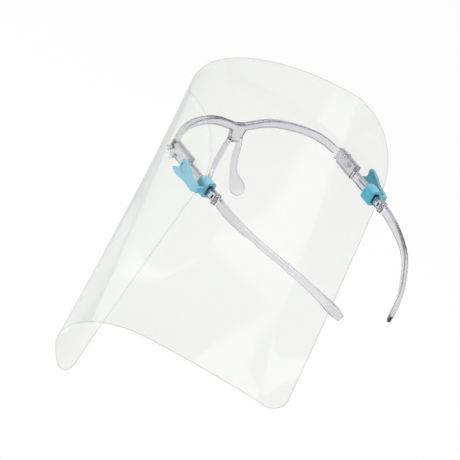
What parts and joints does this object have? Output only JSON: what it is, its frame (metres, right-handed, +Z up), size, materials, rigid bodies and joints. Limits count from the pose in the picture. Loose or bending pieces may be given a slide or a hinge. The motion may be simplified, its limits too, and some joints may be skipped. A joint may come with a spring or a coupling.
{
  "type": "face shield",
  "caption": "Clear face shield: a bent visor sheet buttoned to a spectacle-type frame with folding temples, and teal clips that slide on its endpieces and lap the visor's edges.",
  "frame": {"origin": "on the visor's lower edge at the front, in the frame's middle plane and in the middle of the sheet's thickness", "axes": "+Z up, -Y to the visor's front, +X to the wearer's left"},
  "size_m": [0.1666, 0.1778, 0.203],
  "materials": {
    "visor_film": "clear polished film",
    "clear_frame": "clear moulded, polished",
    "clip_teal": "moulded, gloss",
    "pin_steel": "drawn"
  },
  "bodies": {
    "front": {"visor": "visor_film", "front_frame": "clear_frame", "hinge_pin_left": "pin_steel", "hinge_pin_right": "pin_steel"},
    "left_temple": {"temple_left": "clear_frame"},
    "right_temple": {"temple_right": "clear_frame"},
    "left_clip": {"clip_left": "clip_teal"},
    "right_clip": {"clip_right": "clip_teal"}
  },
  "joints": [
    {"name": "temple_left_fold", "type": "hinge", "parent": "front", "child": "left_temple", "pos_m": [0.0658, 0.0925, 0.166], "axis": [0, 0, 1], "range_deg": [0, 85]},
    {"name": "temple_right_fold", "type": "hinge", "parent": "front", "child": "right_temple", "pos_m": [-0.0658, 0.0925, 0.166], "axis": [0, 0, -1], "range_deg": [0, 60]},
    {"name": "clip_left_slide", "type": "slide", "parent": "front", "child": "left_clip", "axis": [0, 1, 0], "range_m": [0, 0.004]},
    {"name": "clip_right_slide", "type": "slide", "parent": "front", "child": "right_clip", "axis": [0, 1, 0], "range_m": [0, 0.004]}
  ]
}
